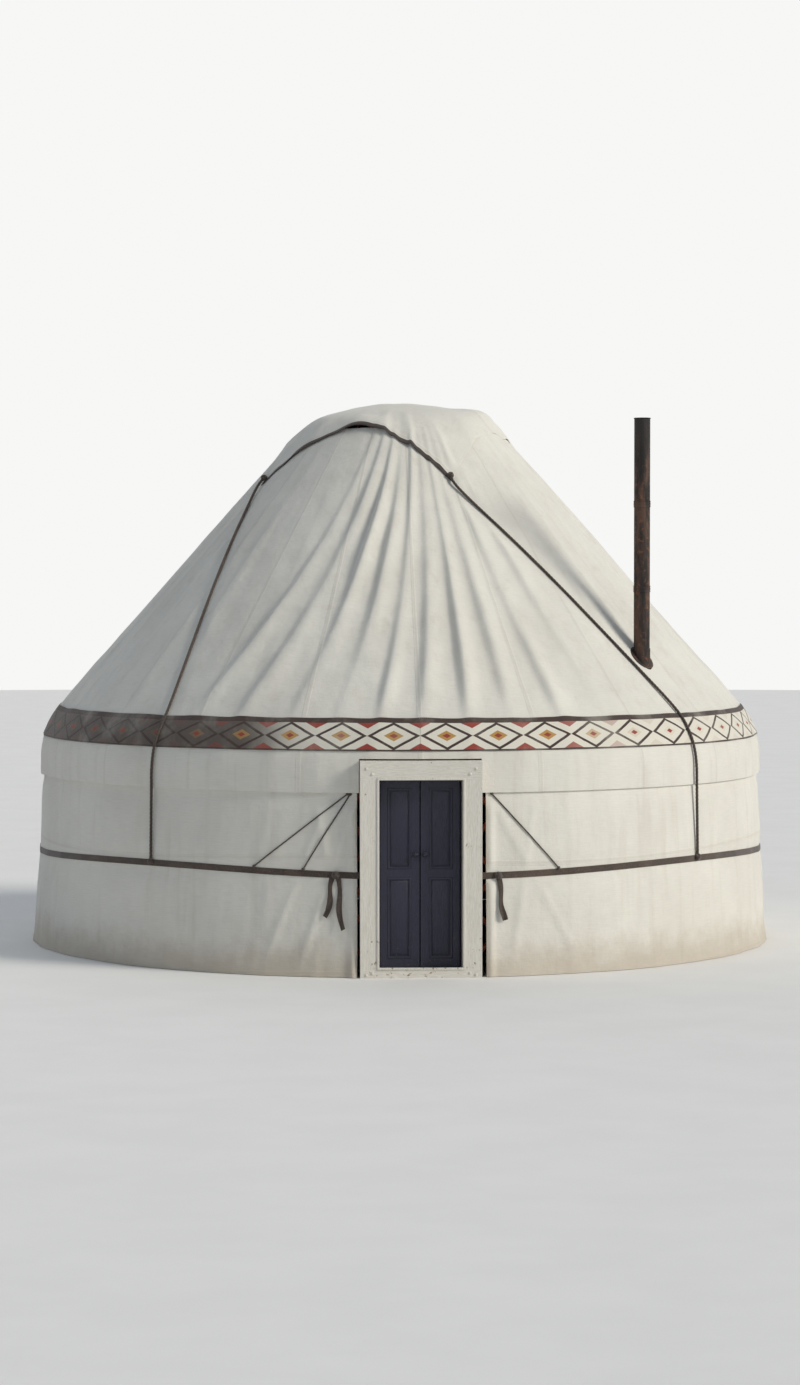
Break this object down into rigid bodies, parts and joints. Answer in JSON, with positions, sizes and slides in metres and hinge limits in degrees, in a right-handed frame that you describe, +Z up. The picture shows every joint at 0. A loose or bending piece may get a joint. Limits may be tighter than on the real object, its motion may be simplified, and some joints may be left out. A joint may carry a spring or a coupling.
{
  "type": "yurt",
  "caption": "Round felt-covered tent house with a lattice wall, bent roof poles, a domed wooden crown, a framed double door and a stovepipe.",
  "frame": {"origin": "on the ground at the centre of the round", "axes": "+Z up; the door faces -Y; +X is to the right of someone who faces the door"},
  "size_m": [6, 6, 4.3749],
  "materials": {
    "white_felt": "matte woven canvas over felt",
    "patterned_band": "matte, dark brown and red diamonds on white",
    "dark_strap": "matte, twisted dark wool",
    "red_wood": "satin, painted red ochre",
    "white_wood": "satin, painted white",
    "blue_wood": "satin, painted dark blue",
    "sooty_steel": "matte, brown with soot"
  },
  "bodies": {
    "house": {"lattice_front_right": "red_wood", "lattice_right_front": "red_wood", "lattice_right_back": "red_wood", "lattice_back_right": "red_wood", "lattice_back_left": "red_wood", "lattice_left_back": "red_wood", "lattice_left_front": "red_wood", "lattice_front_left": "red_wood", "roof_poles_front": "red_wood", "roof_poles_right": "red_wood", "roof_poles_back": "red_wood", "roof_poles_left": "red_wood", "crown_ring": "red_wood", "crown_bows": "red_wood", "wall_cover_front_right": "white_felt", "wall_cover_right_front": "white_felt", "wall_cover_right_back": "white_felt", "wall_cover_back_right": "white_felt", "wall_cover_back_left": "white_felt", "wall_cover_left_back": "white_felt", "wall_cover_left_front": "white_felt", "wall_cover_front_left": "white_felt", "roof_cover_front_right": "white_felt", "roof_cover_right_front": "white_felt", "roof_cover_right_back": "white_felt", "roof_cover_back_right": "white_felt", "roof_cover_back_left": "white_felt", "roof_cover_left_back": "white_felt", "roof_cover_left_front": "white_felt", "roof_cover_front_left": "white_felt", "crown_cover": "white_felt", "eave_band_right": "patterned_band", "eave_band_left": "patterned_band", "girth_strap": "dark_strap", "crown_ropes": "dark_strap", "door_sill": "white_wood", "door_lintel": "white_wood", "door_post_left": "white_wood", "door_post_right": "white_wood", "stove_pipe": "sooty_steel", "pipe_collar": "sooty_steel"},
    "left_leaf": {"door_leaf_left": "blue_wood", "door_knob_left": "blue_wood"},
    "right_leaf": {"door_leaf_right": "blue_wood", "door_knob_right": "blue_wood"}
  },
  "joints": [
    {"name": "left_leaf_hinge", "type": "hinge", "parent": "house", "child": "left_leaf", "pos_m": [-0.287, -2.823, 0.06], "axis": [0, 0, 1], "range_deg": [0, 90]},
    {"name": "right_leaf_hinge", "type": "hinge", "parent": "house", "child": "right_leaf", "pos_m": [0.287, -2.823, 0.06], "axis": [0, 0, -1], "range_deg": [0, 90]}
  ]
}
